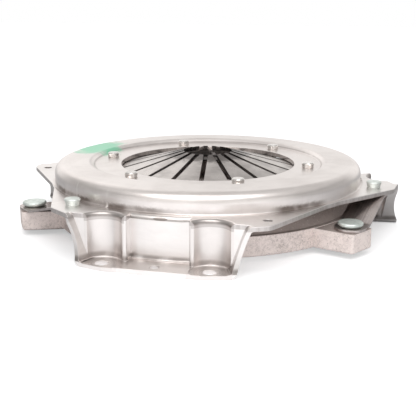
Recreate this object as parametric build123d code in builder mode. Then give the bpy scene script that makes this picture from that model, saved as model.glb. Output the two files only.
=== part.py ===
from build123d import *
from math import atan2, cos, degrees, dist, radians, sin, tan
import os

# Clutch cover assembly (clutch pressure plate), in millimetres.
# +Z is the clutch axis, from the flywheel towards the gearbox. The origin is on the axis,
# in the plane where the three feet of the cover bolt to the flywheel.

# Pressed cover: a dome of sheet steel with a flange at its foot. Reaches are measured
# outwards from the wall of the dome, widths inwards from it, one after the other.
cover_t = 3.0
wall_r = 113.0
flange_top_z = 32.3
wall_h = 13.6
crown_w = 26.2
crown_rise = 0.4
step_w = 3.2
step_h = 2.9
land_w = 19.1
rim_margin = 2.2
land_bend = 1.6
bead_bend = 3.0
shoulder_bend = 6.8
root_bend = 1.2

# Feet of the cover, pressed down from the flange to the flywheel
foot_count = 3
foot_start = 30.0
foot_reach = 28.5
chord_reach = 24.8
side_angle = 21.2
side_draft = 18.2
side_hollow = 3.0
mouth_bend = 4.6
toe_bend = 1.6
panel_reach = 5.0
lip_bend = 3.4
scallop_lip = 3.0
heel_bend = 2.2
rib_reach = 10.8
rib_w = 2.8
rib_round = 1.3
scallop_margin = 0.5
bolt_reach = 21.5
bolt_half_angle = 15.0
bolt_hole_d = 9.0
seat_d = 25.4
seat_depth = 0.4
dowel_reach = 17.5
dowel_hole_d = 6.0

# Wings of the flange beside each foot: a long one and a tail that carries the straps
wing_root_angle = 57.0
wing_tip_angle = 29.8
wing_corner = 9.0
wing_hole_d = 6.0
wing_hole_reach = 16.6
wing_hole_angle = 30.9
foot_corner_angle = 22.0
tail_reach = 24.6
tail_tip_angle = 32.6
tail_root_angle = 56.0
tail_corner = 3.0

# Diaphragm spring: a slotted cone
spring_t = 2.6
spring_margin = 7.0
finger_tip_r = 18.0
cone_slope = 0.27
finger_count = 18
slot_w = 3.4
window_in = 7.0
window_out = 4.2
window_margin = 2.0
window_corner = 2.5

# Fulcrum of the spring: two wire rings held by shouldered rivets
wire_d = 4.5
wire_margin = 3.2
wire_play = 0.27
fulcrum_gap = 0.1
seat_gap = 0.03
fulcrum_rivet_count = 6
fulcrum_shank_gap = 0.15
fulcrum_shank_d = 6.0
fulcrum_head_d = 8.7
fulcrum_head_h = 3.7
fulcrum_foot_d = 15.0
fulcrum_foot_h = 2.4

# Pressure plate: a cast ring with a raised ridge and three lugs
plate_bottom_z = 3.6
plate_inner_r = 70.0
plate_web_z = 15.0
plate_rim_z = 17.5
rim_reach = 11.0
ridge_margin = 2.0
ridge_half = 2.6
ridge_foot_in = 6.0
ridge_foot_out = 8.0
ridge_gap = 0.3
plate_chamfer = 1.2
lug_turn = 59.2
lug_end = 9.9
lug_margin = 0.5
lug_flare = 5.5
lug_top_z = 17.0
lug_corner = 2.0

# Drive straps: packs of spring leaves from the tail of the flange down to a lug
strap_t = 0.5
strap_leaves = 3
strap_w = 21.0
strap_gap = 0.01
strap_flat = 11.5
strap_bend = 12.0
strap_lift = 0.1
strap_rivet_reach = 10.0
strap_rivet_turn = 31.2
lug_rivet_reach = 15.7
strap_rivet_d = 7.0
strap_rivet_head_d = 10.8
strap_rivet_head_h = 4.2
strap_rivet_seat_d = 9.0
strap_rivet_foot_d = 12.0
strap_rivet_foot_h = 2.4
lug_rivet_d = 9.0
lug_rivet_head_d = 16.7
lug_rivet_head_h = 3.0
lug_rivet_seat_d = 14.0
lug_rivet_flare = 1.3
lug_rivet_foot_d = 13.0
lug_rivet_foot_h = 3.0

# Clearances and edge breaks
fit = 0.01
shank_gap = 0.05
free_gap = 0.3
rivet_edge = 0.7
head_flare = 0.3

# Radii that follow
far = 400.0
rim_r = wall_r + rim_margin
bead_r = wall_r - crown_w
land_r = bead_r - step_w
opening_r = land_r - land_w
panel_r = wall_r + panel_reach
rib_tip_x = wall_r + rib_reach
foot_edge_r = wall_r + foot_reach
scallop_r = seat_d / 2 + scallop_margin
spring_outer_r = wall_r - cover_t - spring_margin
ridge_r = spring_outer_r - ridge_margin
wire_r = land_r - wire_margin
fulcrum_circle_r = wire_r - wire_d / 2 - fulcrum_shank_d / 2 - fulcrum_shank_gap
window_inner_r = fulcrum_circle_r - window_in
window_outer_r = fulcrum_circle_r + window_out
lug_rivet_r = wall_r + lug_rivet_reach
lug_half = strap_w / 2 + lug_margin

# Heights that follow
flange_bottom_z = flange_top_z - cover_t
dome_edge_z = flange_top_z + wall_h
bead_top_z = dome_edge_z + crown_rise
land_top_z = bead_top_z - step_h
land_bottom_z = land_top_z - cover_t
upper_wire_z = land_bottom_z - seat_gap - wire_d / 2
cone_angle = degrees(atan2(cone_slope, 1))
cone_drop = spring_t / cos(radians(cone_angle))
cone_wire_z = upper_wire_z - (wire_d / 2 + wire_play) / cos(radians(cone_angle))


def polar(radius, angle):
    """A point of the plan, from its distance to the axis and its angle."""
    return radius * cos(radians(angle)), radius * sin(radians(angle))


def upright(place):
    """An upright plane at a place of the plan: its x runs along +X, its y along +Z."""
    return Plane((*place, 0), x_dir=(1, 0, 0), z_dir=(0, -1, 0))


def spring_top(radius):
    """Height of the upper face of the diaphragm spring."""
    return cone_wire_z - cone_slope * (radius - wire_r)


def spring_bottom(radius):
    """Height of the lower face of the diaphragm spring."""
    return spring_top(radius) - cone_drop


foot_angles = [foot_start + i * 360 / foot_count for i in range(foot_count)]
bolt_r = wall_r + bolt_reach
bolt_x, bolt_y = polar(bolt_r, bolt_half_angle)
bolt_places = [polar(bolt_r, angle + side * bolt_half_angle) for angle in foot_angles for side in (-1, 1)]
strap_places = [polar(wall_r + strap_rivet_reach, angle - strap_rivet_turn) for angle in foot_angles]
lug_places = [polar(lug_rivet_r, angle - lug_turn) for angle in foot_angles]
fulcrum_places = [
    polar(fulcrum_circle_r, i * 360 / fulcrum_rivet_count) for i in range(fulcrum_rivet_count)
]

os.makedirs("parts", exist_ok=True)


# Cover

def pocket(growth):
    """The space over a foot that points along +X, grown by a distance on every pressed side.

    Its back follows the section of the panel, turned about the axis, and the plan of the
    ribs and the scallops round the bolts. Its sides follow the section of the side walls,
    which runs along a line from the axis.
    """
    floor_z = cover_t - growth
    mouth_z = flange_top_z - growth
    panel_half = bolt_y - scallop_r - rib_w / 2
    lean = tan(radians(side_draft))
    inset = (growth - cover_t) / cos(radians(side_draft))
    side = Plane(
        origin=(0, 0, 0),
        x_dir=(-sin(radians(side_angle)), cos(radians(side_angle)), 0),
        z_dir=(cos(radians(side_angle)), sin(radians(side_angle)), 0),
    )
    with BuildPart() as space:
        with BuildSketch(Plane.XZ):
            with BuildLine():
                heel = FilletPolyline(
                    (panel_r - growth, flange_top_z),
                    (panel_r - growth, floor_z),
                    (far, floor_z),
                    radius=heel_bend + growth,
                )
                Polyline(heel @ 1, (far, flange_top_z), heel @ 0)
            make_face()
        revolve(axis=Axis.Z)
        with BuildSketch(Plane.XY.offset(floor_z)):
            with Locations((panel_r, 0)):
                Rectangle(panel_r, 2 * (panel_half + growth))
        extrude(amount=flange_top_z - floor_z, mode=Mode.INTERSECT)
        with BuildSketch(Plane.XY.offset(floor_z)):
            with Locations((rib_tip_x - growth + far / 2, 0)):
                Rectangle(far, far)
            with Locations((bolt_x, bolt_y)):
                Circle(scallop_r + growth)
            with Locations((far / 2, far / 4)):
                Rectangle(far, far / 2, mode=Mode.INTERSECT)
        extrude(amount=flange_top_z - floor_z)
        with BuildSketch(side):
            with BuildLine():
                wall = FilletPolyline(
                    (-far, floor_z),
                    (inset + floor_z * lean, floor_z),
                    (inset + mouth_z * lean, mouth_z),
                    (far, mouth_z),
                    radius=[toe_bend + growth, mouth_bend - growth],
                )
                Polyline(wall @ 1, (far, far), (-far, far), wall @ 0)
            make_face()
        extrude(amount=far, mode=Mode.INTERSECT)
        mirror(about=Plane.XZ)
    return space.part


def arm_outline():
    """Plan of a foot that points along +X, with the wing and the tail of the flange beside it."""
    wing_tip = polar(foot_edge_r, wing_tip_angle)
    tail_tip = polar(wall_r + tail_reach, -tail_tip_angle)
    with BuildSketch() as arm:
        with BuildLine():
            Polyline(
                (0, 0),
                polar(rim_r, wing_root_angle),
                wing_tip,
                polar(far, wing_tip_angle / 2),
                polar(far, -foot_corner_angle / 2),
                polar(foot_edge_r, -foot_corner_angle),
                tail_tip,
                polar(rim_r, -tail_root_angle),
                close=True,
            )
        make_face()
        fillet(arm.vertices().sort_by_distance(tail_tip)[0], radius=tail_corner)
        Circle(foot_edge_r, mode=Mode.INTERSECT)
        Rectangle(2 * (wall_r + chord_reach), far, mode=Mode.INTERSECT)
        fillet(arm.vertices().sort_by_distance(wing_tip)[0], radius=wing_corner)
    return arm.sketch


with BuildPart() as foot_blank:
    add(pocket(cover_t))
    with BuildSketch():
        add(arm_outline())
    extrude(amount=flange_top_z, mode=Mode.INTERSECT)

with BuildPart() as foot_space:
    add(pocket(0))
    standing = foot_space.edges().filter_by(Axis.Z)
    rib_edges = standing.filter_by_position(Axis.X, rib_tip_x - rib_round, rib_tip_x + rib_round)
    fillet(rib_edges.filter_by_position(Axis.Y, -bolt_y, bolt_y), radius=rib_round)
    # Lips of the scallops: the corner outside a round edge, turned about the axis of the bolt
    for place in ((bolt_x, bolt_y), (bolt_x, -bolt_y)):
        with BuildSketch(upright(place)):
            with Locations((scallop_r + scallop_lip / 2, flange_top_z - scallop_lip / 2)):
                Rectangle(scallop_lip, scallop_lip)
            with Locations((scallop_r + scallop_lip, flange_top_z - scallop_lip)):
                Circle(scallop_lip, mode=Mode.SUBTRACT)
        revolve(axis=Axis((*place, 0), (0, 0, 1)))

with BuildPart() as cover:
    # Dome, as a sheet section turned about the axis
    with BuildSketch(Plane.XZ):
        with BuildLine():
            skin = FilletPolyline(
                (opening_r, land_top_z),
                (land_r, land_top_z),
                (bead_r, bead_top_z),
                (wall_r, dome_edge_z),
                (wall_r, flange_top_z),
                (rim_r, flange_top_z),
                radius=[land_bend, bead_bend, shoulder_bend, root_bend],
            )
            offset(skin, amount=cover_t, side=Side.RIGHT)
        make_face()
    revolve(axis=Axis.Z)
    # Flange in plan, then the pockets of the feet pressed down through it
    with BuildSketch(Plane.XY.offset(flange_bottom_z)):
        Circle(rim_r)
        with PolarLocations(0, foot_count, start_angle=foot_start):
            add(arm_outline())
        Circle(wall_r - cover_t / 2, mode=Mode.SUBTRACT)
    extrude(amount=cover_t)
    with PolarLocations(0, foot_count, start_angle=foot_start):
        add(foot_blank.part)
        add(foot_space.part, mode=Mode.SUBTRACT)
    # Rounded lips over the panels
    top_edges = cover.edges().filter_by_position(Axis.Z, flange_top_z - fit, flange_top_z + fit)
    top_arcs = top_edges.filter_by(GeomType.CIRCLE)
    fillet(top_arcs.filter_by(lambda arc: abs(arc.radius - panel_r) < fit), radius=lip_bend)
    # Side walls drawn in between the floor and the flange
    with BuildSketch(Plane.XZ):
        with BuildLine():
            hollow = ThreePointArc(
                (foot_edge_r, cover_t),
                (foot_edge_r - side_hollow, (cover_t + flange_bottom_z) / 2),
                (foot_edge_r, flange_bottom_z),
            )
            Line(hollow @ 1, hollow @ 0)
        make_face()
    revolve(axis=Axis.Z, mode=Mode.SUBTRACT)
    # Bolt seats, bolt holes and dowel holes of the feet
    with BuildSketch(Plane.XY.offset(cover_t - seat_depth)):
        with Locations(*bolt_places):
            Circle(seat_d / 2)
    extrude(amount=seat_depth, mode=Mode.SUBTRACT)
    with BuildSketch(Plane.XY):
        with Locations(*bolt_places):
            Circle(bolt_hole_d / 2)
        with PolarLocations(wall_r + dowel_reach, foot_count, start_angle=foot_start):
            Circle(dowel_hole_d / 2)
    extrude(amount=cover_t, mode=Mode.SUBTRACT)
    # Holes of the flange, for the strap rivets and in the wings
    with BuildSketch(Plane.XY.offset(flange_bottom_z)):
        with Locations(*strap_places):
            Circle(strap_rivet_d / 2 + shank_gap)
        with PolarLocations(wall_r + wing_hole_reach, foot_count, start_angle=foot_start + wing_hole_angle):
            Circle(wing_hole_d / 2)
    extrude(amount=cover_t, mode=Mode.SUBTRACT)
    # Holes of the land, for the fulcrum rivets
    with BuildSketch(Plane.XY.offset(land_bottom_z)):
        with Locations(*fulcrum_places):
            Circle(fulcrum_shank_d / 2 + shank_gap)
    extrude(amount=cover_t, mode=Mode.SUBTRACT)
cover.part.label = "cover"
export_step(cover.part, "parts/cover.step")


# Diaphragm spring

window_w = fulcrum_shank_d + 2 * window_margin

with BuildPart() as diaphragm_spring:
    with BuildSketch(Plane.XZ):
        with BuildLine():
            Polyline(
                (finger_tip_r, spring_top(finger_tip_r)),
                (spring_outer_r, spring_top(spring_outer_r)),
                (spring_outer_r, spring_bottom(spring_outer_r)),
                (finger_tip_r, spring_bottom(finger_tip_r)),
                close=True,
            )
        make_face()
    revolve(axis=Axis.Z)
    with BuildSketch():
        with PolarLocations(window_outer_r / 2, finger_count):
            Rectangle(window_outer_r, slot_w)
        with PolarLocations((window_inner_r + window_outer_r) / 2, finger_count):
            RectangleRounded(window_outer_r - window_inner_r, window_w, window_corner)
    extrude(amount=far, mode=Mode.SUBTRACT)
diaphragm_spring.part.label = "diaphragm_spring"
export_step(diaphragm_spring.part, "parts/diaphragm_spring.step")


# Fulcrum rings

lower_wire_z = spring_bottom(wire_r) - fulcrum_gap - wire_d / 2 / cos(radians(cone_angle))

with BuildPart() as fulcrum_ring_upper:
    with BuildSketch(Plane.XZ):
        with Locations((wire_r, upper_wire_z)):
            Circle(wire_d / 2)
    revolve(axis=Axis.Z)
fulcrum_ring_upper.part.label = "fulcrum_ring_upper"
export_step(fulcrum_ring_upper.part, "parts/fulcrum_ring_upper.step")

with BuildPart() as fulcrum_ring_lower:
    with BuildSketch(Plane.XZ):
        with Locations((wire_r, lower_wire_z)):
            Circle(wire_d / 2)
    revolve(axis=Axis.Z)
fulcrum_ring_lower.part.label = "fulcrum_ring_lower"
export_step(fulcrum_ring_lower.part, "parts/fulcrum_ring_lower.step")


# Pressure plate

ridge_top_z = spring_bottom(ridge_r + ridge_half) - ridge_gap
lug_rivet_foot_top_z = plate_bottom_z + plate_chamfer + lug_rivet_foot_h
lug_root_half = lug_half + lug_flare
lug_reach = lug_rivet_r + lug_end


def lug_outline():
    """Plan of a lug that points along +X, from inside the ring to its flat end."""
    with BuildSketch() as lug:
        with BuildLine():
            Polyline(
                (ridge_r, lug_root_half),
                (lug_reach, lug_half),
                (lug_reach, -lug_half),
                (ridge_r, -lug_root_half),
                close=True,
            )
        make_face()
        fillet(lug.vertices().group_by(Axis.X)[-1], radius=lug_corner)
    return lug.sketch


with BuildPart() as pressure_plate:
    with BuildSketch(Plane.XZ):
        with BuildLine():
            Polyline(
                (plate_inner_r, plate_bottom_z),
                (plate_inner_r, plate_web_z),
                (ridge_r - ridge_foot_in, plate_web_z),
                (ridge_r - ridge_half, ridge_top_z),
                (ridge_r + ridge_half, ridge_top_z),
                (ridge_r + ridge_foot_out, plate_rim_z),
                (ridge_r + rim_reach, plate_rim_z),
                (ridge_r + rim_reach, plate_bottom_z),
                close=True,
            )
        make_face()
    revolve(axis=Axis.Z)
    with BuildSketch(Plane.XY.offset(plate_bottom_z)):
        with PolarLocations(0, foot_count, start_angle=foot_start - lug_turn):
            add(lug_outline())
    extrude(amount=lug_top_z - plate_bottom_z)
    chamfer(pressure_plate.faces().sort_by(Axis.Z)[0].edges(), length=plate_chamfer)
    # Rivet holes of the lugs, with a recess below for the foot of the rivet
    with BuildSketch(Plane.XY.offset(plate_bottom_z)):
        with Locations(*lug_places):
            Circle(lug_rivet_d / 2 + shank_gap)
    extrude(amount=lug_top_z - plate_bottom_z, mode=Mode.SUBTRACT)
    with BuildSketch(Plane.XY.offset(plate_bottom_z)):
        with Locations(*lug_places):
            Circle(lug_rivet_foot_d / 2 + shank_gap)
    extrude(amount=lug_rivet_foot_top_z - plate_bottom_z, mode=Mode.SUBTRACT)
pressure_plate.part.label = "pressure_plate"
export_step(pressure_plate.part, "parts/pressure_plate.step")


# Drive straps

strap_run = dist(strap_places[0], lug_places[0]) - 2 * strap_flat
strap_slope = atan2(flange_bottom_z - lug_top_z, strap_run)
strap_pitch = strap_t / cos(strap_slope) + strap_gap
strap_pack = strap_leaves * strap_pitch
pack_top_z = lug_top_z + strap_lift + strap_pack


def strap_leaf(start, end, layer):
    """One leaf of a strap pack, counted from the flange down, from its first rivet to its last."""
    length = dist(start, end)
    along = ((end[0] - start[0]) / length, (end[1] - start[1]) / length, 0)
    across = (along[1], -along[0], 0)
    high_z = flange_bottom_z - strap_gap - layer * strap_pitch
    low_z = pack_top_z - strap_gap - layer * strap_pitch
    with BuildPart() as leaf:
        with BuildSketch(Plane(origin=(*start, 0), x_dir=along, z_dir=across)):
            with BuildLine():
                edge = FilletPolyline(
                    (-strap_w, high_z),
                    (strap_flat, high_z),
                    (length - strap_flat, low_z),
                    (length + strap_w, low_z),
                    radius=strap_bend,
                )
                offset(edge, amount=strap_t, side=Side.RIGHT)
            make_face()
        extrude(amount=strap_w / 2, both=True)
        with BuildSketch(Plane(origin=(*start, 0), x_dir=along, z_dir=(0, 0, 1))):
            with Locations((length / 2, 0)):
                SlotCenterToCenter(length, strap_w)
            Circle(strap_rivet_d / 2 + shank_gap, mode=Mode.SUBTRACT)
            with Locations((length, 0)):
                Circle(lug_rivet_d / 2 + free_gap, mode=Mode.SUBTRACT)
        extrude(amount=flange_top_z, mode=Mode.INTERSECT)
    return leaf


for pack in range(foot_count):
    for layer in range(strap_leaves):
        leaf = strap_leaf(strap_places[pack], lug_places[pack], layer)
        leaf.part.label = f"strap_{pack + 1}_leaf_{layer + 1}"
        export_step(leaf.part, f"parts/{leaf.part.label}.step")


# Rivets

def rivet(place, head, shank_d, foot, foot_top_z, seat_z):
    """A rivet at a place of the plan, with its head on a seat and its foot below the pack.

    The head is given as its diameters at the seat and at the top, its flare, which is the
    height between them, and its whole height. The foot is given as diameter and height.
    """
    seat_head_d, head_d, flare, head_h = head
    foot_d, foot_h = foot
    foot_bottom_z = foot_top_z - foot_h
    head_top_z = seat_z + head_h
    with BuildPart() as body:
        with BuildSketch(upright(place)) as section:
            with BuildLine():
                Polyline(
                    (0, foot_bottom_z),
                    (foot_d / 2, foot_bottom_z),
                    (foot_d / 2, foot_top_z),
                    (shank_d / 2, foot_top_z),
                    (shank_d / 2, seat_z),
                    (seat_head_d / 2, seat_z),
                    (head_d / 2, seat_z + flare),
                    (head_d / 2, head_top_z),
                    (0, head_top_z),
                    close=True,
                )
            make_face()
            rim = section.vertices().sort_by_distance((head_d / 2, head_top_z))[0]
            chamfer(rim, length=rivet_edge)
        revolve(axis=Axis((*place, 0), (0, 0, 1)))
    return body


fulcrum_head = (fulcrum_head_d - 2 * head_flare, fulcrum_head_d, head_flare, fulcrum_head_h)
fulcrum_foot = (fulcrum_foot_d, fulcrum_foot_h)
fulcrum_foot_top_z = lower_wire_z - wire_d / 2 - seat_gap
for i, place in enumerate(fulcrum_places):
    fulcrum_rivet = rivet(place, fulcrum_head, fulcrum_shank_d, fulcrum_foot, fulcrum_foot_top_z, land_top_z)
    fulcrum_rivet.part.label = f"fulcrum_rivet_{i + 1}"
    export_step(fulcrum_rivet.part, f"parts/{fulcrum_rivet.part.label}.step")

strap_head = (strap_rivet_seat_d, strap_rivet_head_d, strap_rivet_head_h - rivet_edge, strap_rivet_head_h)
strap_foot = (strap_rivet_foot_d, strap_rivet_foot_h)
strap_foot_top_z = flange_bottom_z - strap_pack - strap_gap
for i, place in enumerate(strap_places):
    strap_rivet = rivet(place, strap_head, strap_rivet_d, strap_foot, strap_foot_top_z, flange_top_z)
    strap_rivet.part.label = f"cover_strap_rivet_{i + 1}"
    export_step(strap_rivet.part, f"parts/{strap_rivet.part.label}.step")

lug_head = (lug_rivet_seat_d, lug_rivet_head_d, lug_rivet_flare, lug_rivet_head_h)
lug_foot = (lug_rivet_foot_d, lug_rivet_foot_h)
for i, place in enumerate(lug_places):
    lug_rivet = rivet(place, lug_head, lug_rivet_d, lug_foot, lug_rivet_foot_top_z, pack_top_z + free_gap)
    lug_rivet.part.label = f"lug_rivet_{i + 1}"
    export_step(lug_rivet.part, f"parts/{lug_rivet.part.label}.step")
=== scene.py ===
import math

import bmesh
import bpy
import numpy as np
from mathutils import Matrix, Vector


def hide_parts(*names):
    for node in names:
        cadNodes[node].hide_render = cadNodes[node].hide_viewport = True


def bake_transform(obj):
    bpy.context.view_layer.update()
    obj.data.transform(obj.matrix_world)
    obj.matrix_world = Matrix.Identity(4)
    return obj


# Clutch cover assembly: pressed cover, slotted diaphragm spring, cast pressure plate and leaf straps.
# Everything is in metres, with +Z along the clutch axis and the feet standing on z = 0.

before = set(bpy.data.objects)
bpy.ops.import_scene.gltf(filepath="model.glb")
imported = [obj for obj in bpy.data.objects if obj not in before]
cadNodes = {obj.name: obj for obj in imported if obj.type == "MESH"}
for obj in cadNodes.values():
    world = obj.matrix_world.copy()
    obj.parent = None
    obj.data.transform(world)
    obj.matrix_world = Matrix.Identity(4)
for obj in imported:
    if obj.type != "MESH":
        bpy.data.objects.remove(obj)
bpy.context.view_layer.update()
print("frame loaded with", len(cadNodes), "pieces")


# Shader helpers

def addNode(tree, kind, inputs=None, **settings):
    node = tree.nodes.new(kind)
    for key, value in settings.items():
        setattr(node, key, value)
    for key, value in (inputs or {}).items():
        if isinstance(value, bpy.types.NodeSocket):
            tree.links.new(value, node.inputs[key])
        else:
            node.inputs[key].default_value = value
    return node


def maths(tree, operation, first, second=0.0, third=0.0, clamp=False):
    inputs = {0: first, 1: second}
    if operation in ("MULTIPLY_ADD", "WRAP"):
        inputs[2] = third
    return addNode(tree, "ShaderNodeMath", inputs, operation=operation, use_clamp=clamp).outputs[0]


def product(tree, first, *others):
    for other in others:
        first = maths(tree, "MULTIPLY", first, other)
    return first


def vectorMaths(tree, operation, first, second=None, scale=None):
    inputs = {0: first}
    if second is not None:
        inputs[1] = second
    if scale is not None:
        inputs["Scale"] = scale
    outputs = addNode(tree, "ShaderNodeVectorMath", inputs, operation=operation).outputs
    return outputs["Value"] if operation in ("LENGTH", "DOT_PRODUCT") else outputs["Vector"]


def remap(tree, value, low, high, outLow=0.0, outHigh=1.0):
    inputs = {"Value": value, "From Min": low, "From Max": high, "To Min": outLow, "To Max": outHigh}
    return addNode(tree, "ShaderNodeMapRange", inputs, interpolation_type="SMOOTHSTEP", clamp=True).outputs[0]


def mixColors(tree, share, first, second):
    node = addNode(tree, "ShaderNodeMix", data_type="RGBA", clamp_factor=True)
    for slot, value in ((0, share), (6, first), (7, second)):
        if isinstance(value, bpy.types.NodeSocket):
            tree.links.new(value, node.inputs[slot])
        elif slot == 0:
            node.inputs[slot].default_value = value
        else:
            node.inputs[slot].default_value = (*value, 1.0)
    return node.outputs[2]


def layered(tree, color, layers):
    # finishes laid over a colour one after the other, each a share and a colour
    for share, tone in layers:
        color = mixColors(tree, share, color, tone)
    return color


def noise(tree, vector, scale, detail=3.0, rough=0.55, distortion=0.0):
    inputs = {"Vector": vector, "Scale": scale, "Detail": detail, "Roughness": rough, "Distortion": distortion}
    return addNode(tree, "ShaderNodeTexNoise", inputs).outputs["Fac"]


def stretched(tree, vector, scale, turn=(0.0, 0.0, 0.0)):
    return addNode(tree, "ShaderNodeMapping", {"Vector": vector, "Scale": scale, "Rotation": turn}).outputs[0]


def stepped(tree, value, stops):
    # a smooth curve through (place, level) pairs
    node = addNode(tree, "ShaderNodeValToRGB", {0: value})
    ramp = node.color_ramp
    ramp.interpolation = "EASE"
    while len(ramp.elements) < len(stops):
        ramp.elements.new(1.0)
    for element, (spot, level) in zip(ramp.elements, stops):
        element.position = spot
        element.color = (level, level, level, 1.0)
    return node.outputs[0]


def split(tree, vector):
    return addNode(tree, "ShaderNodeSeparateXYZ", {0: vector}).outputs


def joined(tree, x, y, z):
    return addNode(tree, "ShaderNodeCombineXYZ", {0: x, 1: y, 2: z}).outputs[0]


def planRadius(tree, parts):
    return vectorMaths(tree, "LENGTH", joined(tree, parts[0], parts[1], 0.0))


def upwardness(tree):
    # 1 where a face looks up, 0 where it stands and -1 where it looks down
    return split(tree, addNode(tree, "ShaderNodeTexCoord").outputs["Normal"])[2]


def startGroup(name, inputs, outputs):
    tree = bpy.data.node_groups.new(name, "ShaderNodeTree")
    for label, kind, value in inputs:
        socket = tree.interface.new_socket(label, in_out="INPUT", socket_type="NodeSocket" + kind)
        if value is not None:
            socket.default_value = value
    for label, kind in outputs:
        tree.interface.new_socket(label, in_out="OUTPUT", socket_type="NodeSocket" + kind)
    source = tree.nodes.new("NodeGroupInput").outputs
    sink = tree.nodes.new("NodeGroupOutput").inputs
    return tree, source, sink


def useGroup(tree, group, **inputs):
    node = tree.nodes.new("ShaderNodeGroup")
    node.node_tree = group
    for key, value in inputs.items():
        label = key[0].upper() + key[1:]
        if isinstance(value, bpy.types.NodeSocket):
            tree.links.new(value, node.inputs[label])
        else:
            node.inputs[label].default_value = value
    return node.outputs


# Shared effects

def makeSpinMarks():
    # streaks that run round the clutch axis: noise that changes fast with radius and height, slowly in plan
    tree, source, sink = startGroup(
        "spinMarks",
        [("Vector", "Vector", None), ("Fineness", "Float", 900.0), ("Drift", "Float", 14.0)],
        [("Value", "Float")],
    )
    parts = split(tree, source["Vector"])
    flat = joined(tree, parts[0], parts[1], 0.0)
    radius = vectorMaths(tree, "LENGTH", flat)
    across = maths(tree, "MULTIPLY", maths(tree, "ADD", radius, parts[2]), source["Fineness"])
    drift = vectorMaths(tree, "SCALE", flat, scale=source["Drift"])
    shifted = vectorMaths(tree, "ADD", drift, joined(tree, 0.0, 0.0, across))
    tree.links.new(noise(tree, shifted, 1.0, 3.0, 0.6), sink["Value"])
    return tree


def makeDrawMarks():
    # streaks that run down the pressed walls: noise over the direction from the axis, slow in height
    tree, source, sink = startGroup(
        "drawMarks",
        [("Vector", "Vector", None), ("Fineness", "Float", 120.0), ("Drift", "Float", 40.0)],
        [("Value", "Float")],
    )
    parts = split(tree, source["Vector"])
    heading = vectorMaths(tree, "NORMALIZE", joined(tree, parts[0], parts[1], 0.0))
    turned = vectorMaths(tree, "SCALE", heading, scale=source["Fineness"])
    height = joined(tree, 0.0, 0.0, maths(tree, "MULTIPLY", parts[2], source["Drift"]))
    tree.links.new(noise(tree, vectorMaths(tree, "ADD", turned, height), 1.0, 3.0, 0.6), sink["Value"])
    return tree


def makeScratches():
    # thin lines where a stretched noise passes its middle value, in two directions, kept to some patches
    tree, source, sink = startGroup(
        "scratches",
        [("Vector", "Vector", None), ("Scale", "Float", 60.0), ("Width", "Float", 0.006), ("Amount", "Float", 0.5)],
        [("Mask", "Float")],
    )
    lines = []
    for turn, stretch in (((0.3, 0.2, 0.9), (1.0, 0.09, 0.5)), ((0.1, 0.7, 2.3), (0.08, 1.0, 0.6))):
        vector = stretched(tree, source["Vector"], stretch, turn)
        value = noise(tree, vector, source["Scale"], 1.0, 0.4, 0.4)
        offset = maths(tree, "ABSOLUTE", maths(tree, "SUBTRACT", value, 0.5))
        lines.append(remap(tree, maths(tree, "DIVIDE", offset, source["Width"]), 1.0, 0.3))
    both = maths(tree, "MAXIMUM", lines[0], lines[1])
    patches = remap(tree, noise(tree, source["Vector"], 45.0, 2.0), 0.52, 0.62)
    shown = maths(tree, "MULTIPLY", product(tree, both, patches), source["Amount"], clamp=True)
    tree.links.new(shown, sink["Mask"])
    return tree


def makeSpecks():
    # small dots: the core of a voronoi cell, in the share of cells that Amount keeps
    tree, source, sink = startGroup(
        "specks",
        [("Vector", "Vector", None), ("Scale", "Float", 120.0), ("Size", "Float", 0.12), ("Amount", "Float", 0.15)],
        [("Mask", "Float")],
    )
    cell = addNode(tree, "ShaderNodeTexVoronoi", {"Vector": source["Vector"], "Scale": source["Scale"]})
    pick = addNode(tree, "ShaderNodeSeparateColor", {0: cell.outputs["Color"]}).outputs[0]
    kept = maths(tree, "LESS_THAN", pick, source["Amount"])
    spread = maths(tree, "DIVIDE", cell.outputs["Distance"], source["Size"])
    tree.links.new(product(tree, remap(tree, spread, 1.0, 0.4), kept), sink["Mask"])
    return tree


def makeFootPlace():
    # folds the plan onto one foot: distance out along the foot, distance across it, and distance to a bolt axis
    tree, source, sink = startGroup(
        "footPlace",
        [
            ("Vector", "Vector", None),
            ("FootAngle", "Float", 30.0),
            ("BoltRadius", "Float", 0.1345),
            ("BoltAngle", "Float", 15.0),
        ],
        [("Along", "Float"), ("Across", "Float"), ("Bolt", "Float")],
    )
    parts = split(tree, source["Vector"])
    heading = maths(tree, "ARCTAN2", parts[1], parts[0])
    start = maths(tree, "RADIANS", source["FootAngle"])
    sixth = math.radians(60.0)
    angle = maths(tree, "WRAP", maths(tree, "SUBTRACT", heading, start), sixth, -sixth)
    radius = planRadius(tree, parts)
    along = maths(tree, "MULTIPLY", radius, maths(tree, "COSINE", angle))
    across = maths(tree, "MULTIPLY", radius, maths(tree, "SINE", angle))
    turn = maths(tree, "RADIANS", source["BoltAngle"])
    boltAlong = maths(tree, "MULTIPLY", source["BoltRadius"], maths(tree, "COSINE", turn))
    boltAcross = maths(tree, "MULTIPLY", source["BoltRadius"], maths(tree, "SINE", turn))
    out = maths(tree, "SUBTRACT", along, boltAlong)
    beside = maths(tree, "SUBTRACT", maths(tree, "ABSOLUTE", across), boltAcross)
    tree.links.new(along, sink["Along"])
    tree.links.new(across, sink["Across"])
    tree.links.new(vectorMaths(tree, "LENGTH", joined(tree, out, beside, 0.0)), sink["Bolt"])
    return tree


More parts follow.
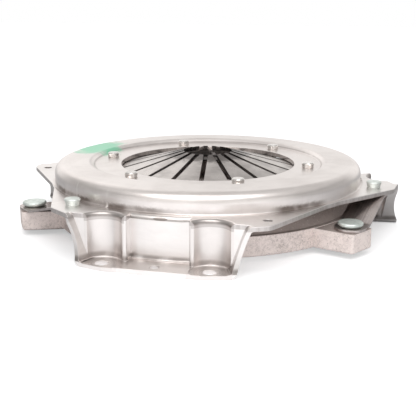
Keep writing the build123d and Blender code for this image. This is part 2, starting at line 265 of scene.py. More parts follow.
def makeEdgeWear():
    # a rounded normal from the bevel node, and a mask where it leaves the flat one
    tree, source, sink = startGroup(
        "edgeWear",
        [("Vector", "Vector", None), ("Radius", "Float", 0.0004), ("Gain", "Float", 3.0)],
        [("Normal", "Vector"), ("Mask", "Float")],
    )
    soft = addNode(tree, "ShaderNodeBevel", {"Radius": source["Radius"]}, samples=6).outputs[0]
    flat = addNode(tree, "ShaderNodeNewGeometry").outputs["Normal"]
    away = maths(tree, "SUBTRACT", 1.0, vectorMaths(tree, "DOT_PRODUCT", soft, flat))
    bent = maths(tree, "MULTIPLY", away, source["Gain"])
    broken = remap(tree, noise(tree, source["Vector"], 260.0, 3.0, 0.6), 0.35, 0.6, 0.4, 1.0)
    tree.links.new(soft, sink["Normal"])
    tree.links.new(maths(tree, "MULTIPLY", bent, broken, clamp=True), sink["Mask"])
    return tree


def makeCastGrain():
    # sand-cast skin: round grains of two sizes and a slow waviness, as a height and as a value for its tone
    tree, source, sink = startGroup(
        "castGrain",
        [("Vector", "Vector", None), ("Scale", "Float", 1.0)],
        [("Height", "Float"), ("Tone", "Float")],
    )
    fine = noise(tree, source["Vector"], maths(tree, "MULTIPLY", source["Scale"], 1500.0), 4.0, 0.65)
    coarse = noise(tree, source["Vector"], maths(tree, "MULTIPLY", source["Scale"], 520.0), 3.0, 0.6)
    slow = noise(tree, source["Vector"], maths(tree, "MULTIPLY", source["Scale"], 70.0), 2.0, 0.5)
    height = maths(tree, "ADD", product(tree, fine, 0.5), product(tree, coarse, 0.8))
    tree.links.new(maths(tree, "ADD", height, product(tree, slow, 0.5)), sink["Height"])
    tree.links.new(maths(tree, "ADD", product(tree, fine, 0.55), product(tree, coarse, 0.45)), sink["Tone"])
    return tree


spinMarks = makeSpinMarks()
drawMarks = makeDrawMarks()
scratches = makeScratches()
specks = makeSpecks()
edgeWear = makeEdgeWear()
footPlace = makeFootPlace()
castGrain = makeCastGrain()
print("shared effects made")


# Materials

def startMaterial(name, metallic=0.0):
    material = bpy.data.materials.new(name)
    material.use_nodes = True
    tree = material.node_tree
    shader = tree.nodes["Principled BSDF"]
    shader.inputs["Metallic"].default_value = metallic
    place = addNode(tree, "ShaderNodeTexCoord").outputs["Object"]
    return material, tree, shader, place


def bumped(tree, shader, height, strength, distance, normal=None):
    inputs = {"Height": height, "Strength": strength, "Distance": distance}
    if normal is not None:
        inputs["Normal"] = normal
    bump = addNode(tree, "ShaderNodeBump", inputs).outputs[0]
    tree.links.new(bump, shader.inputs["Normal"])


coverLook = {
    "steel": (0.89, 0.84, 0.82),
    "shade": (0.72, 0.67, 0.65),
    "worn": (0.95, 0.91, 0.885),
    # a dark brown for dirt, cut edges and seat rings, and also for painted shade in the heels, at the land's step
    # and in the dents
    "dirtAndShade": (0.21, 0.175, 0.16),
    "footSteel": (0.83, 0.82, 0.815),
    "speck": (0.22, 0.19, 0.18),
    "rough": 0.21,
    # where the pressing changes, as heights and as distances from the clutch axis
    "flangeTop": 0.0323,
    "flangeBottom": 0.0293,
    "wallRadius": 0.113,
    "openingRadius": 0.0645,
    "panelRadius": 0.1195,
    "footFloor": 0.0030,
    # shared effects
    "turning": {"fineness": 900.0, "drift": 10.0},
    "drawing": {"fineness": 60.0, "drift": 14.0},
    "scratches": {"scale": 55.0, "width": 0.005, "amount": 0.7},
    "dots": {"scale": 110.0, "size": 0.09, "amount": 0.04},
    "crumbs": {"scale": 700.0, "size": 0.3, "amount": 0.4},
    "wear": {"radius": 0.0005, "gain": 1.2},
    # how strongly each layer covers the steel
    "cloudShare": 0.5,
    "streakShare": 0.16,
    "footShare": 0.4,
    "cutEdge": 0.55,
    "crumbShare": 0.8,
    # painted shade in the heels and on the lips
    "heelShade": 0.75,
    "lipShade": 0.30,
    "landShadeShare": 0.45,
    "creaseHighlightShare": 0.9,
    "seatShare": 0.7,
    "floorShade": 0.5,
    "scallopShade": 0.35,
    "dentShadeShare": 0.7,
    "wearShare": 0.4,
    "scratchShare": 0.3,
    "paintShare": 0.85,
    # places of the darkest band along the wall: direction about the clutch axis and half width, in degrees
    "darkBandPlaces": ((-119.0, 38.0), (-43.5, 13.0), (30.0, 30.0), (120.0, 26.0)),
    "darkBandHeight": 0.0058,
    "darkBandLeast": 0.15,  # share of the dark band elsewhere
    "heelHeight": (0.0074, 0.0048),
    "landShadeLine": 0.0842,
    # marks on the wall beside each foot, bumped and with painted highlights: degrees from it and half width
    "creases": ((-20.5, 0.00065), (-36.0, 0.00050)),
    "seatRadius": 0.0130,
    "seatRings": 1400.0,
    "scallopRadius": 0.0146,
    "reliefBottom": 0.0272,  # foot of the round reliefs that the punch leaves over the bolts
    "reliefShare": 0.5,
    "markWidth": 0.0052,  # lens marks that the press leaves over the middle of each panel
    "markHeight": (0.0301, 0.0011),
    "paint": (0.16, 0.66, 0.40),
    "paintPlace": (-0.0960, 0.0200, 0.0460),
    "paintSize": (0.019, 0.026, 0.030),
    "paintEdge": (2.05, 1.45),
    "bump": (0.25, 0.00012),
}


def coverSpot(tree, place, look):
    # where a point of the sheet is: height, distance from the axis, direction, slope and place on its foot
    parts = split(tree, place)
    radius = planRadius(tree, parts)
    facing = upwardness(tree)
    wall = look["wallRadius"]
    return {
        "place": place,
        "height": parts[2],
        "radius": radius,
        "facing": facing,
        "heading": maths(tree, "DEGREES", maths(tree, "ARCTAN2", parts[1], parts[0])),
        "standing": remap(tree, maths(tree, "ABSOLUTE", facing), 0.5, 0.2),
        "foot": useGroup(tree, footPlace, vector=place),
        "onWall": remap(tree, radius, wall - 0.002, wall - 0.001),
        "beyond": remap(tree, radius, wall + 0.001, wall + 0.002),
        "aboveFlange": remap(tree, parts[2], look["flangeTop"] - 0.0003, look["flangeTop"]),
    }


def shearedEdges(tree, spot, look):
    # cut edges of the flange and of the opening, torn in short upright marks
    top, bottom = look["flangeTop"], look["flangeBottom"]
    level = product(
        tree,
        remap(tree, spot["height"], bottom - 0.0004, bottom),
        remap(tree, spot["height"], top - 0.0002, top - 0.0006),
    )
    opening = remap(tree, spot["radius"], look["openingRadius"] + 0.0006, look["openingRadius"] + 0.0002)
    edges = maths(tree, "MAXIMUM", product(tree, level, spot["beyond"]), opening)
    marks = noise(tree, stretched(tree, spot["place"], (1.0, 1.0, 0.1)), 500.0, 3.0, 0.6)
    torn = remap(tree, marks, 0.3, 0.7, 0.65, 1.0)
    return product(tree, edges, spot["standing"], torn, look["cutEdge"])


def wallFootDirtAndShade(tree, spot, look):
    # dirt and painted shade along the foot of the dome's wall: a dark band in patches, darkest at the listed
    # places, with crumbs in it
    place, wall = spot["place"], look["wallRadius"]
    low = remap(tree, spot["height"], look["flangeTop"] + look["darkBandHeight"], look["flangeTop"] + 0.0004)
    near = remap(tree, spot["radius"], wall + 0.0024, wall + 0.0008)
    band = product(tree, low, spot["onWall"], near, spot["aboveFlange"])
    patches = remap(tree, noise(tree, place, 30.0, 3.0, 0.7), 0.36, 0.58, 0.45, 1.0)
    broken = maths(tree, "MULTIPLY_ADD", noise(tree, place, 260.0, 4.0, 0.7), 0.7, band)
    ragged = remap(tree, broken, 0.45, 1.15)
    heavy = 0.0
    for middle, half in look["darkBandPlaces"]:
        away = maths(tree, "ABSOLUTE", maths(tree, "SUBTRACT", spot["heading"], middle))
        heavy = maths(tree, "MAXIMUM", remap(tree, away, half, half * 0.4), heavy)
    strong = maths(tree, "ADD", heavy, look["darkBandLeast"])
    dirtAndShade = maths(tree, "MULTIPLY", product(tree, ragged, patches), strong, clamp=True)
    crumbs = useGroup(tree, specks, vector=place, **look["crumbs"])["Mask"]
    return maths(tree, "MAXIMUM", dirtAndShade, product(tree, crumbs, band, heavy, look["crumbShare"]))


def paintedFootShade(tree, spot, look):
    # painted shade in the heel of each foot, and painted shade on the lips above it that dulls their highlights
    height, facing = spot["height"], spot["facing"]
    floor, top = look["footFloor"], look["flangeTop"]
    notLevel = remap(tree, facing, 0.99, 0.9)
    patchy = remap(tree, noise(tree, spot["place"], 120.0, 3.0, 0.6), 0.3, 0.6, 0.55, 1.0)
    overFloor = remap(tree, height, floor - 0.0001, floor + 0.0003)
    heel = product(tree, remap(tree, height, *look["heelHeight"]), notLevel, overFloor, patchy)
    lip = product(tree, remap(tree, height, top - 0.0060, top - 0.0030), remap(tree, facing, 0.08, 0.3), notLevel)
    both = maths(tree, "MULTIPLY_ADD", heel, look["heelShade"], product(tree, lip, look["lipShade"]))
    return product(tree, both, spot["beyond"])


def landShadeLine(tree, spot, look):
    # painted shade: a dark line where the land steps up to the bead
    away = maths(tree, "ABSOLUTE", maths(tree, "SUBTRACT", spot["radius"], look["landShadeLine"]))
    broken = remap(tree, noise(tree, spot["place"], 40.0, 3.0, 0.6), 0.35, 0.55, 0.5, 1.0)
    onTop = remap(tree, spot["height"], 0.040, 0.0425)
    return product(tree, remap(tree, away, 0.0008, 0.0002), onTop, broken, look["landShadeShare"])


def wallCreases(tree, spot, look):
    # creases where the wall was drawn round into the foot: a bump, and bright lines in the colour that are painted
    # highlights
    beside = maths(tree, "DEGREES", maths(tree, "ARCTAN2", spot["foot"]["Across"], spot["foot"]["Along"]))
    crease = 0.0
    for middle, half in look["creases"]:
        away = maths(tree, "ABSOLUTE", maths(tree, "SUBTRACT", beside, middle))
        wide = math.degrees(half / look["wallRadius"])
        crease = maths(tree, "MAXIMUM", remap(tree, away, wide * 2.0, wide * 0.6), crease)
    broken = remap(tree, noise(tree, spot["place"], 90.0, 2.0), 0.35, 0.55)
    return product(tree, crease, spot["onWall"], spot["aboveFlange"], broken)


def boltSeats(tree, spot, look):
    # seats turned under the bolt heads: where they are, and their rings
    bolt, floor, edge = spot["foot"]["Bolt"], look["footFloor"], look["seatRadius"]
    level = product(
        tree,
        remap(tree, spot["height"], floor + 0.0006, floor + 0.0001),
        remap(tree, spot["facing"], 0.8, 0.95),
    )
    rings = noise(tree, joined(tree, product(tree, bolt, look["seatRings"]), 0.0, 0.0), 1.0, 3.0, 0.7)
    return product(tree, remap(tree, bolt, edge, edge - 0.0006), level), rings


def pressDents(tree, spot, look, scallop):
    # round reliefs of the punch over the bolts, and lens marks over the middle of each panel: dents in the bump,
    # painted shade in the colour
    height, foot, bottom = spot["height"], spot["foot"], look["reliefBottom"]
    relief = product(tree, scallop, remap(tree, height, bottom, bottom + 0.0003), look["reliefShare"])
    middle = maths(tree, "DIVIDE", foot["Across"], look["markWidth"])
    level, half = look["markHeight"]
    level = maths(tree, "DIVIDE", maths(tree, "SUBTRACT", height, level), half)
    lens = vectorMaths(tree, "LENGTH", joined(tree, middle, level, 0.0))
    panel = remap(tree, foot["Along"], look["panelRadius"] + 0.0005, look["panelRadius"])
    return maths(tree, "MAXIMUM", relief, product(tree, remap(tree, lens, 1.0, 0.8), panel))


def paintBlot(tree, place, look):
    # translucent marking paint: a soft blot with brushed edges
    moved = vectorMaths(tree, "SUBTRACT", place, look["paintPlace"])
    scaled = vectorMaths(tree, "DIVIDE", moved, look["paintSize"])
    strokes = noise(tree, stretched(tree, place, (1.0, 0.25, 1.0), (0.0, 0.0, 0.35)), 230.0, 3.0, 0.6)
    soft = noise(tree, place, 48.0, 2.0, 0.5, 0.6)
    blot = maths(tree, "MULTIPLY_ADD", soft, 1.3, product(tree, strokes, 0.45))
    return remap(tree, maths(tree, "ADD", vectorMaths(tree, "LENGTH", scaled), blot), *look["paintEdge"])


def makeCoverSteel(look):
    material, tree, shader, place = startMaterial("pressedSteel", 1.0)
    spot = coverSpot(tree, place, look)
    # satin sheet with slow clouds, faint turning marks on top and faint draw marks on the walls
    turning = useGroup(tree, spinMarks, vector=place, **look["turning"])["Value"]
    drawing = useGroup(tree, drawMarks, vector=place, **look["drawing"])["Value"]
    clouds = noise(tree, place, 22.0, 4.0, 0.6)
    smears = noise(tree, stretched(tree, place, (1.0, 1.0, 2.6)), 60.0, 3.0, 0.6, 0.8)
    cloudy = maths(tree, "MULTIPLY_ADD", clouds, 0.6, product(tree, smears, 0.4))
    marks = mixColors(
        tree,
        spot["standing"],
        joined(tree, turning, turning, turning),
        joined(tree, drawing, drawing, drawing),
    )
    lines = useGroup(tree, scratches, vector=place, **look["scratches"])["Mask"]
    dots = useGroup(tree, specks, vector=place, **look["dots"])["Mask"]
    wear = useGroup(tree, edgeWear, vector=place, **look["wear"])
    dirtAndShade = wallFootDirtAndShade(tree, spot, look)
    crease = wallCreases(tree, spot, look)
    seat, rings = boltSeats(tree, spot, look)
    # painted shade: the scallops and the floors of the feet are a little darker
    scallop = remap(tree, spot["foot"]["Bolt"], look["scallopRadius"] + 0.0004, look["scallopRadius"])
    paintedHollowShade = product(tree, scallop, spot["standing"], look["scallopShade"])
    onFloor = remap(tree, spot["height"], look["footFloor"] + 0.0010, look["footFloor"] + 0.0006)
    level = product(tree, onFloor, remap(tree, spot["facing"], 0.8, 0.95))
    dent = pressDents(tree, spot, look, scallop)
    paint = paintBlot(tree, place, look)
    color = layered(tree, look["steel"], [
        (product(tree, remap(tree, cloudy, 0.42, 0.66), look["cloudShare"]), look["shade"]),
        (product(tree, remap(tree, marks, 0.5, 0.8), look["streakShare"]), look["shade"]),
        (product(tree, spot["beyond"], look["footShare"]), look["footSteel"]),
        (shearedEdges(tree, spot, look), look["dirtAndShade"]),
        (dirtAndShade, look["dirtAndShade"]),
        # painted shade in the heels and on the lips of the feet
        (paintedFootShade(tree, spot, look), look["dirtAndShade"]),
        # painted shade along the land's step
        (landShadeLine(tree, spot, look), look["dirtAndShade"]),
        # painted highlights along the creases
        (product(tree, crease, look["creaseHighlightShare"]), look["worn"]),
        (product(tree, seat, remap(tree, rings, 0.45, 0.7), look["seatShare"]), look["dirtAndShade"]),
        # painted shade on the floors of the feet and in the scallops
        (maths(tree, "MULTIPLY_ADD", level, look["floorShade"], paintedHollowShade), look["shade"]),
        # painted shade in the dents
        (product(tree, dent, look["dentShadeShare"]), look["dirtAndShade"]),
        (product(tree, wear["Mask"], look["wearShare"]), look["worn"]),
        (product(tree, lines, look["scratchShare"]), look["shade"]),
        (dots, look["speck"]),
        (product(tree, paint, look["paintShare"]), look["paint"]),
    ])
    tree.links.new(color, shader.inputs["Base Color"])
    # the band of dirt and painted shade, and the paint, are less metal
    metal = maths(tree, "MULTIPLY_ADD", dirtAndShade, -0.5, 1.0)
    tree.links.new(maths(tree, "MULTIPLY_ADD", paint, -0.45, metal, clamp=True), shader.inputs["Metallic"])
    rough = maths(tree, "MULTIPLY_ADD", clouds, 0.14, look["rough"])
    rough = maths(tree, "MULTIPLY_ADD", turning, 0.05, rough)
    rough = maths(tree, "MULTIPLY_ADD", maths(tree, "MAXIMUM", dots, dirtAndShade), 0.25, rough)
    tree.links.new(rough, shader.inputs["Roughness"])
    relief = product(tree, noise(tree, place, 900.0, 2.0, 0.5), 0.3)
    seatRings = product(tree, seat, rings)
    for value, weight in ((marks, 0.35), (lines, -0.5), (seatRings, 0.6), (dent, -1.5), (crease, 1.2)):
        relief = maths(tree, "MULTIPLY_ADD", value, weight, relief)
    bumped(tree, shader, relief, *look["bump"], wear["Normal"])
    return material


springLook = {
    "steel": (0.66, 0.62, 0.60),
    "shade": (0.47, 0.44, 0.425),
    "worn": (0.82, 0.79, 0.76),
    # painted shade on the finger tips round the hub
    "hubShade": (0.10, 0.085, 0.08),
    "hubShadeRadius": (0.034, 0.025),
    "hubShadeRagged": 0.016,
    "turning": {"fineness": 700.0, "drift": 20.0},
    "dots": {"scale": 150.0, "size": 0.14, "amount": 0.12},
    "peening": 1300.0,
    "bump": (0.3, 0.0001),
}


def makeSpringSteel(look):
    material, tree, shader, place = startMaterial("springSteel", 1.0)
    clouds = noise(tree, place, 60.0, 4.0, 0.6)
    turning = useGroup(tree, spinMarks, vector=place, **look["turning"])["Value"]
    dots = useGroup(tree, specks, vector=place, **look["dots"])["Mask"]
    # painted shade on the finger tips round the hub, with a ragged edge
    inward = maths(tree, "SUBTRACT", planRadius(tree, split(tree, place)), look["hubShadeRagged"] / 2)
    ragged = maths(tree, "MULTIPLY_ADD", noise(tree, place, 190.0, 3.0, 0.7), look["hubShadeRagged"], inward)
    hubShade = remap(tree, ragged, *look["hubShadeRadius"])
    color = layered(tree, look["steel"], [
        (remap(tree, clouds, 0.35, 0.68), look["shade"]),
        (product(tree, remap(tree, turning, 0.5, 0.8), 0.3), look["worn"]),
        (product(tree, dots, 0.7), look["shade"]),
        (product(tree, hubShade, 0.85), look["hubShade"]),
    ])
    tree.links.new(color, shader.inputs["Base Color"])
    tree.links.new(maths(tree, "MULTIPLY_ADD", clouds, 0.2, 0.20), shader.inputs["Roughness"])
    peened = product(tree, noise(tree, place, look["peening"], 2.0, 0.5), 0.7)
    bumped(tree, shader, maths(tree, "MULTIPLY_ADD", turning, 0.3, peened), *look["bump"])
    return material


plateLook = {
    "iron": (0.93, 0.83, 0.795),
    "dark": (0.30, 0.245, 0.225),
    "machined": (0.74, 0.71, 0.69),
    "faceTop": 0.0037,  # the turned friction face lies below this height
    "underCoverShade": (0.42, 0.82),  # painted shade on the slopes, low down and close under the cover
    "underCoverShadeHeight": (0.0120, 0.0178),
    "castMetallic": 0.35,
    "wear": {"radius": 0.0009, "gain": 2.2},
    "turning": {"fineness": 3200.0, "drift": 6.0},
    "dots": {"scale": 640.0, "size": 0.26, "amount": 0.3},
    # painted glints: bright grains in the painted shade of the slopes
    "paintedGlints": {"scale": 900.0, "size": 0.3, "amount": 0.22},
    "bump": (0.55, 0.00035),
}


def makeCastIron(look):
    material, tree, shader, place = startMaterial("castIron")
    height = split(tree, place)[2]
    grain = useGroup(tree, castGrain, vector=place, scale=1.0)
    wear = useGroup(tree, edgeWear, vector=place, **look["wear"])
    rings = useGroup(tree, spinMarks, vector=place, **look["turning"])["Value"]
    dots = useGroup(tree, specks, vector=place, **look["dots"])["Mask"]
    paintedGlints = useGroup(tree, specks, vector=place, **look["paintedGlints"])["Mask"]
    clouds = noise(tree, place, 34.0, 3.0, 0.6)
    tone = maths(tree, "MULTIPLY_ADD", clouds, 0.5, product(tree, grain["Tone"], 0.6))
    turned = maths(tree, "LESS_THAN", height, look["faceTop"])
    # painted shade on the slopes and on faces that look up, darkest close under the cover; the outer faces keep the
    # plain iron
    shadedSlopes = remap(tree, maths(tree, "MULTIPLY_ADD", grain["Tone"], 0.3, upwardness(tree)), 0.3, 0.62)
    shadeUnderCover = remap(tree, height, *look["underCoverShadeHeight"], *look["underCoverShade"])
    face = mixColors(tree, product(tree, rings, 0.5), look["machined"], look["dark"])
    color = layered(tree, look["iron"], [
        (remap(tree, tone, 0.47, 0.78), look["dark"]),
        (product(tree, dots, 0.75), look["dark"]),
        (product(tree, wear["Mask"], 0.5), look["machined"]),
        # painted shade under the cover
        (product(tree, shadedSlopes, shadeUnderCover), look["dark"]),
        # painted glints in the shaded slopes
        (product(tree, paintedGlints, shadedSlopes, 0.7), look["iron"]),
        (turned, face),
    ])
    tree.links.new(color, shader.inputs["Base Color"])
    cast = look["castMetallic"]
    tree.links.new(maths(tree, "MULTIPLY_ADD", turned, 1.0 - cast, cast), shader.inputs["Metallic"])
    rough = maths(tree, "MULTIPLY_ADD", grain["Tone"], 0.25, 0.42)
    tree.links.new(maths(tree, "MULTIPLY_ADD", turned, -0.2, rough), shader.inputs["Roughness"])
    skin = product(tree, grain["Height"], maths(tree, "SUBTRACT", 1.0, turned))
    relief = maths(tree, "MULTIPLY_ADD", product(tree, rings, turned), 0.25, skin)
    bumped(tree, shader, relief, *look["bump"], wear["Normal"])
    return material


rivetLooks = {
    "fulcrum_rivets": {"zinc": (0.86, 0.835, 0.81), "shade": (0.70, 0.67, 0.65), "rough": 0.06, "metal": 1.0},
    "cover_strap_rivets": {"zinc": (0.84, 0.89, 0.86), "shade": (0.68, 0.73, 0.70), "rough": 0.30, "metal": 0.75},
    "lug_rivets": {"zinc": (0.76, 0.825, 0.79), "shade": (0.60, 0.66, 0.63), "rough": 0.32, "metal": 0.75},
}


def makeZinc(name, look):
    material, tree, shader, place = startMaterial(name + "Zinc", look["metal"])
    spangle = noise(tree, place, 420.0, 3.0, 0.6)
    clouds = noise(tree, place, 90.0, 2.0, 0.5)
    wear = useGroup(tree, edgeWear, vector=place, radius=0.0002, gain=2.5)
    lines = useGroup(tree, scratches, vector=place, scale=170.0, width=0.012, amount=0.8)["Mask"]
    mottled = maths(tree, "MULTIPLY_ADD", spangle, 0.5, product(tree, clouds, 0.5))
    color = layered(tree, look["zinc"], [
        (remap(tree, mottled, 0.4, 0.64), look["shade"]),
        (product(tree, lines, 0.5), look["shade"]),
    ])
    tree.links.new(color, shader.inputs["Base Color"])
    tree.links.new(maths(tree, "MULTIPLY_ADD", spangle, 0.14, look["rough"]), shader.inputs["Roughness"])
    bumped(tree, shader, maths(tree, "SUBTRACT", spangle, lines), 0.12, 0.00006, wear["Normal"])
    return material


strapLook = {"steel": (0.66, 0.595, 0.575), "shade": (0.42, 0.37, 0.36), "rolling": (12.0, 900.0, 1.0)}


def makeStrapSteel(look):
    # rolled strip: streaks along the leaf, which runs along the strap's own U
    material, tree, shader, place = startMaterial("strapSteel", 1.0)
    own = addNode(tree, "ShaderNodeUVMap", uv_map="along").outputs[0]
    rolled = noise(tree, stretched(tree, own, look["rolling"]), 1.0, 3.0, 0.6)
    clouds = noise(tree, place, 70.0, 3.0, 0.6)
    lines = useGroup(tree, scratches, vector=place, scale=120.0, width=0.008, amount=0.7)["Mask"]
    streaky = maths(tree, "MULTIPLY_ADD", rolled, 0.5, product(tree, clouds, 0.5))
    color = layered(tree, look["steel"], [
        (remap(tree, streaky, 0.38, 0.66), look["shade"]),
        (product(tree, lines, 0.4), look["shade"]),
    ])
    tree.links.new(color, shader.inputs["Base Color"])
    tree.links.new(maths(tree, "MULTIPLY_ADD", rolled, 0.14, 0.22), shader.inputs["Roughness"])
    bumped(tree, shader, maths(tree, "SUBTRACT", rolled, lines), 0.2, 0.00008)
    return material


wireLook = {"steel": (0.55, 0.53, 0.51), "shade": (0.36, 0.34, 0.33), "turning": {"fineness": 2500.0, "drift": 8.0}}


def makeWire(look):
    material, tree, shader, place = startMaterial("drawnWire", 1.0)
    turning = useGroup(tree, spinMarks, vector=place, **look["turning"])["Value"]
    tree.links.new(mixColors(tree, turning, look["steel"], look["shade"]), shader.inputs["Base Color"])
    tree.links.new(maths(tree, "MULTIPLY_ADD", turning, 0.2, 0.2), shader.inputs["Roughness"])
    bumped(tree, shader, turning, 0.2, 0.00008)
    return material


def coat(names, material):
    for name in names:
        for slot in cadNodes[name].material_slots:
            slot.material = material


springSteel = makeSpringSteel(springLook)
strapSteel = makeStrapSteel(strapLook)
coat(["cover"], makeCoverSteel(coverLook))
coat(["pressure_plate"], makeCastIron(plateLook))
coat(["fulcrum_ring_upper", "fulcrum_ring_lower"], makeWire(wireLook))
for slotName, stem, count in (
    ("fulcrum_rivets", "fulcrum_rivet", 6),
    ("cover_strap_rivets", "cover_strap_rivet", 3),
    ("lug_rivets", "lug_rivet", 3),
):
    coat([f"{stem}_{i + 1}" for i in range(count)], makeZinc(slotName, rivetLooks[slotName]))
print("materials made")


# Meshes worked out as thin shells of two grids

def gridFaces(rows, columns, start=0):
    # corner numbers of every cell of a grid whose points are numbered row by row
    corner = start + np.arange((rows - 1) * columns).reshape(rows - 1, columns)[:, :-1].ravel()
    return np.stack([corner, corner + 1, corner + columns + 1, corner + columns], axis=1)


def shellFaces(rows, columns, walled):
    # an upper grid, a lower one numbered after it, and walls between their edges: round the two ends,
    # and down the two sides for as many rows as are walled
    layer = rows * columns
    faces = [gridFaces(rows, columns), gridFaces(rows, columns, layer)[:, ::-1]]
    side = np.arange(walled) * columns
    end = np.arange(columns - 1)
    for first, step in ((side, columns), (side + columns - 1, columns), (end, 1), (end + (rows - 1) * columns, 1)):
        faces.append(np.stack([first, first + step, first + step + layer, first + layer], axis=1))
    return np.concatenate(faces)


def shellPoints(flat, top, thickness):
    # the points of the plan at the height of the upper face, row by row, and then at that of the lower one
    layers = []
    for height in (top, top - thickness):
        level = np.broadcast_to(height[:, None, None], (*flat.shape[:2], 1))
        layers.append(np.concatenate([flat, level], axis=-1).reshape(-1, 3))
    return np.concatenate(layers)


def buildMesh(name, points, faces, material):
    mesh = bpy.data.meshes.new(name)
    mesh.from_pydata(points.tolist(), [], faces.tolist())
    mesh.materials.append(material)
    shell = bmesh.new()
    shell.from_mesh(mesh)
    bmesh.ops.remove_doubles(shell, verts=shell.verts, dist=1e-6)
    bmesh.ops.dissolve_degenerate(shell, edges=shell.edges, dist=1e-7)
    bmesh.ops.recalc_face_normals(shell, faces=shell.faces)
    shell.to_mesh(mesh)
    shell.free()
    mesh.polygons.foreach_set("use_smooth", np.full(len(mesh.polygons), True))
    piece = bpy.data.objects.new(name, mesh)
    bpy.context.scene.collection.objects.link(piece)
    return piece


def pointsOf(piece):
    points = np.empty(len(piece.data.vertices) * 3, np.float32)
    piece.data.vertices.foreach_get("co", points)
    return points.reshape(-1, 3)


def rounded(piece, width, segments):
    bevel = piece.modifiers.new("edges", "BEVEL")
    bevel.width = width
    bevel.segments = segments
    bevel.limit_method = "ANGLE"
    bevel.angle_limit = math.radians(35.0)
    bevel.harden_normals = True


# Diaphragm spring

spring = {
    "thickness": 0.0026,
    "tipRadius": 0.018,
    "outerRadius": 0.103,
    "slope": 0.27,
    "topAt": (0.0804, 0.03551),  # radius and height of one point of the upper face
    "fingers": 18,
    "slotWidth": 0.0034,
    "window": (0.068, 0.0792, 0.010, 0.0025),  # inner radius, outer radius, width, corner
    "fulcrumRadius": 0.0804,
    "edge": (0.0004, 2),  # width and segments
    # rows of points along a finger, round a window's corner, along its side and out to the rim, and across a finger
    "fingerRows": 26,
    "cornerRows": 7,
    "windowRows": 3,
    "rimRows": 12,
    "columns": 9,
}


def makeSpring(look):
    # one row of the grid is a radius; its columns run across a finger, from slot edge to slot edge.
    # the half gap between fingers is half a slot, then the rounded outline of a window, then nothing,
    # and the upper face is a cone whose height falls evenly with the radius
    inner, outer, width, corner = look["window"]
    half = look["slotWidth"] / 2
    turn = np.linspace(0.0, math.pi / 2, look["cornerRows"])
    radii = np.concatenate([
        np.linspace(look["tipRadius"], inner, look["fingerRows"]),
        inner + corner * (1 - np.cos(turn)),
        np.linspace(inner + corner, outer - corner, look["windowRows"] + 2)[1:-1],
        outer - corner * (1 - np.sin(turn)),
        np.linspace(outer, look["outerRadius"], look["rimRows"]),
    ])
    gaps = np.concatenate([
        np.full(look["fingerRows"], half),
        width / 2 - corner * (1 - np.sin(turn)),
        np.full(look["windowRows"], width / 2),
        width / 2 - corner * (1 - np.cos(turn)),
        np.zeros(look["rimRows"]),
    ])
    reach = math.pi / look["fingers"] - np.arcsin(gaps / radii)
    angles = reach[:, None] * np.linspace(-1.0, 1.0, look["columns"])[None, :]
    top = look["topAt"][1] - look["slope"] * (radii - look["topAt"][0])
    drop = look["thickness"] * math.hypot(1.0, look["slope"])
    rows = len(radii)
    sector = shellFaces(rows, look["columns"], rows - look["rimRows"])
    points, faces = [], []
    for finger in range(look["fingers"]):
        turned = angles + (finger + 0.5) * 2 * math.pi / look["fingers"]
        flat = np.stack([radii[:, None] * np.cos(turned), radii[:, None] * np.sin(turned)], axis=-1)
        points.append(shellPoints(flat, top, drop))
        faces.append(sector + finger * 2 * rows * look["columns"])
    piece = buildMesh("springFingers", np.concatenate(points), np.concatenate(faces), springSteel)
    rounded(piece, *look["edge"])
    return piece


springPiece = makeSpring(spring)
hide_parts("diaphragm_spring")
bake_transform(springPiece)


def rockOnFulcrum(piece):
    # the distance of each point from the clutch axis, which nothing uses
    radius = np.hypot(*pointsOf(piece)[:, :2].T)


rockOnFulcrum(springPiece)
print("diaphragm spring made")


# Drive straps

straps = {
    "packs": 3,
    "leaves": 3,
    "thickness": 0.0005,
    "width": 0.021,
    "pitch": 0.000535,
    "flat": 0.0115,
    "bend": 0.0017,
    "coverRivet": (0.123, -1.2),  # radius and angle of the first pack's rivet in the flange
    "lugRivet": (0.1287, -29.2),
    "topAtCover": 0.02929,
    "topAtLug": 0.018696,
    "edge": (0.00012, 1),  # width and segments
    "patternStep": 0.1,  # sideways step of the rolling marks from leaf to leaf
    # rows of points round each end, and from rivet to rivet, and points across the leaf
    "endRows": 13,
    "runRows": 38,
    "columns": 9,
}


def softRamp(distance, bend):
    # nothing before the bend, a straight climb after it and a parabola in between
    inside = np.clip(distance + bend, 0.0, 2 * bend) ** 2 / (4 * bend)
    return np.where(distance > bend, distance, inside)


def rivetPlace(look, end, pack):
    radius, angle = look[end]
    turned = math.radians(angle + 360.0 * pack / look["packs"])
    return np.array([radius * math.cos(turned), radius * math.sin(turned)])


